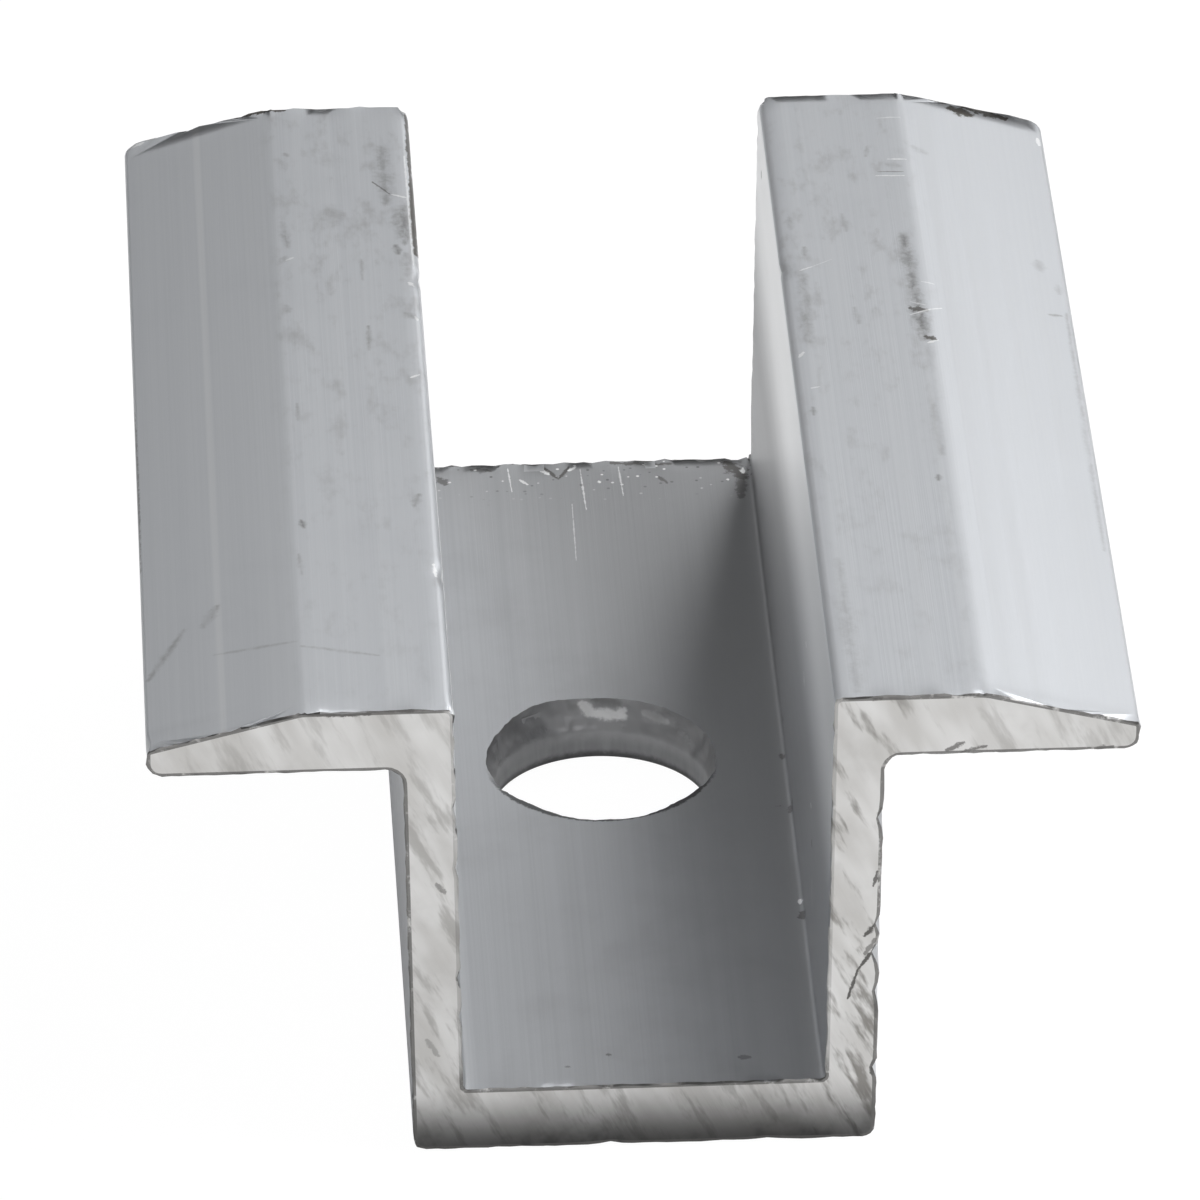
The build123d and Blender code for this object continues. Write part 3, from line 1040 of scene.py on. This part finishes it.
# Painted shade: the foot of the bore wall, its shadowed rolled-over edge, is painted dark.
painted_shade_bottom_edge = ramp(tree, wavy, 0.55, 0.2)
colour = tint(tree, maths(tree, "MULTIPLY", painted_shade_bottom_edge, 0.8), colour, (0.1, 0.1, 0.1, 1))
from_front = add(tree, "CombineXYZ", X=parts["X"], Y=parts["Z"]).outputs["Vector"]
far_side = ramp(tree, parts["Y"], 1.0, 3.0)
soft_edge = maths(tree, "MULTIPLY", raggedness, 0.35)
# Painted highlight: the chip is painted white.
chip_highlight = strokes(tree, from_front, soft_edge, 0.3, [
    (-1.1, 2.65, -0.6, 2.2, 0.36, 1.0),
    (-0.8, 2.2, 0.7, 2.1, 0.42, 1.0),
    (0.4, 2.15, 0.75, 2.4, 0.3, 1.0),
    (1.6, 2.4, 2.5, 2.3, 0.34, 0.4),
])
# Painted shade: the hollow above the chip is painted darker.
hollow_shade = strokes(tree, from_front, soft_edge, 0.0, [
    (-0.6, 2.85, 0.5, 2.7, 0.4, 0.8),
    (-1.7, 2.8, -1.3, 2.2, 0.3, 0.4),
])
colour = tint(tree, maths(tree, "MULTIPLY", chip_highlight, far_side), colour, (1, 1, 1, 1))
colour = tint(tree, maths(tree, "MULTIPLY", hollow_shade, far_side), colour, (0.3, 0.3, 0.3, 1))
tree.links.new(colour, metal["Base Color"])
bump(tree, metal, maths(tree, "MULTIPLY", patchy, torn), 0.03)

# %% Finishes on the faces that each process made
for finish in (outside, left_top, right_top, channel, sawn, punched):
    clamp.data.materials.append(finish)


def give(finish, test):
    """Put a finish on the faces that pass the test."""
    slot = clamp.data.materials.find(finish.name)
    chosen = [face for face in clamp.data.polygons if test(face)]
    for face in chosen:
        face.material_index = slot
    print(finish.name, "on", len(chosen), "faces")


def on_top(face, side):
    faces_up = face.center.z > seat + 0.9 * MM and face.normal.z > 0.4
    return faces_up and face.center.x * side > 0


def in_channel(face):
    return abs(face.center.x) < mouth + 0.05 * MM and face.center.z > floor_thickness - 0.02 * MM


def by_saw(face):
    return rear - abs(face.center.y) < 0.08 * MM and abs(face.normal.y) > 0.55


def by_punch(face):
    wall = 0.01 * MM < face.center.z < floor_thickness - 0.005 * MM
    return wall and from_bore(face.center) < breakout_radius + 0.5 * MM


give(left_top, lambda face: on_top(face, -1))
give(right_top, lambda face: on_top(face, 1))
give(channel, in_channel)
give(sawn, by_saw)
give(punched, by_punch)

# %% Mark the faces that hold edge dirt and painted shade: the small ones round both sawn ends
def on_rim(face):
    at_end = rear - abs(face.center.y) < 0.15 * MM
    return at_end and len(face.vertices) == 4 and face.area < 0.1 * MM * MM


rim = clamp.data.attributes.new("rim", "FLOAT", "FACE")
rim_faces = [float(on_rim(face)) for face in clamp.data.polygons]
rim.data.foreach_set("value", rim_faces)
print("rim faces:", int(sum(rim_faces)))

# %% Shading, and the place of the piece in the part
bpy.ops.object.shade_smooth_by_angle(angle=math.radians(32))
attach(clamp, "root")
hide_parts("clamp_body")

# %% [markdown]
# ## Floor, light and camera
#
# The clamp stands on white paper that fades out of sight. Paper lit only by lamps goes grey towards
# its far end, so to the camera the sheet mostly glows, while in the metal, which mirrors it, it is
# mostly a dim lit sheet with only a faint painted glow. A paper that glowed there fully would wash
# the walls out from below. Satin metal shows its lamps as broad bands, so the lamps are large and
# soft: one behind for the right slopes, a big one overhead for the flats, and a low one in front for
# the cut face.

# %% Floor
bpy.ops.object.select_all(action="DESELECT")
clearance = 0.15 * MM  # keeps the paper off the clamp's underside
bpy.ops.mesh.primitive_plane_add(size=6, location=(0, 0, -clearance))
floor = bpy.context.object
floor.name = "studio_floor"
paper = bpy.data.materials.new("white paper")
paper.use_nodes = True
nodes, links = paper.node_tree.nodes, paper.node_tree.links
sheet = nodes["Principled BSDF"]
sheet.inputs["Base Color"].default_value = (0.88, 0.88, 0.88, 1)
sheet.inputs["Roughness"].default_value = 0.9
sheet.inputs["Specular IOR Level"].default_value = 0.1
glow = nodes.new("ShaderNodeEmission")
glow.inputs["Color"].default_value = (1, 1, 1, 1)
glow.inputs["Strength"].default_value = 1.05
ray = nodes.new("ShaderNodeLightPath")
share = nodes.new("ShaderNodeMapRange")
# To reflections and bounces the paper still glows at 0.15 of full: a faint painted glow that lifts the
# walls.
share.inputs["To Min"].default_value = 0.15
share.inputs["To Max"].default_value = 0.93
blend = nodes.new("ShaderNodeMixShader")
links.new(ray.outputs["Is Camera Ray"], share.inputs[0])
links.new(share.outputs[0], blend.inputs["Fac"])
links.new(sheet.outputs[0], blend.inputs[1])
links.new(glow.outputs[0], blend.inputs[2])
links.new(blend.outputs[0], nodes["Material Output"].inputs["Surface"])
floor.data.materials.append(paper)
floor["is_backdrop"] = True

# %% Light
def softbox(name, turn, height, away, width, tall, watts):
    """A rectangular lamp around the clamp. Turn is counted from the rear, clockwise from above."""
    light = bpy.data.lights.new(name, "AREA")
    light.shape = "RECTANGLE"
    light.size, light.size_y = width, tall
    light.energy = watts
    lamp = bpy.data.objects.new(name, light)
    bpy.context.collection.objects.link(lamp)
    turn, height = math.radians(turn), math.radians(height)
    level = math.cos(height)
    way = Vector((math.sin(turn) * level, math.cos(turn) * level, math.sin(height)))
    lamp.location = way * away
    lamp.rotation_euler = way.to_track_quat("Z", "Y").to_euler()
    return lamp


world = bpy.data.worlds.new("studio")
bpy.context.scene.world = world
world.use_nodes = True
world.node_tree.nodes["Background"].inputs["Color"].default_value = (1, 1, 1, 1)
world.node_tree.nodes["Background"].inputs["Strength"].default_value = 0.11
softbox("rear right", 34, 30, 1.2, 0.9, 0.5, 3.15)
softbox("rear left", -24, 27, 1.2, 0.5, 0.4, 0.42)
softbox("overhead", 74, 47, 1.2, 1.3, 0.9, 18)
softbox("front", 184, 28, 1.2, 1.5, 0.9, 5)
softbox("low left", -100, 14, 1.2, 1.0, 0.3, 1.5)
bpy.context.scene.view_settings.view_transform = "Standard"
print(len(bpy.data.lights), "lamps")

# %% Camera
turn, rise, roll = math.radians(-2.816), math.radians(31.28), math.radians(-0.168)
aim = Vector((-0.53, 0, 10.93)) * MM
distance = 519.45 * MM
back = Vector((math.sin(turn) * math.cos(rise), -math.cos(turn) * math.cos(rise), math.sin(rise)))
lens = bpy.data.cameras.new("camera")
lens.sensor_width = 36
lens.lens = 368.6
lens.clip_start = 0.01
camera = bpy.data.objects.new("camera", lens)
bpy.context.collection.objects.link(camera)
camera.location = aim + back * distance
camera.rotation_mode = "QUATERNION"
camera.rotation_quaternion = back.to_track_quat("Z", "Y") @ Quaternion((0, 0, 1), roll)
bpy.context.scene.camera = camera
print("camera:", lens.lens, "mm lens,", round(distance / MM), "mm from the clamp's middle")

# %% Sizes
sizes = [[list(corner) for corner in box] for box in (cad_box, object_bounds())]
print("box of the solid and of the finished clamp, m:", sizes)
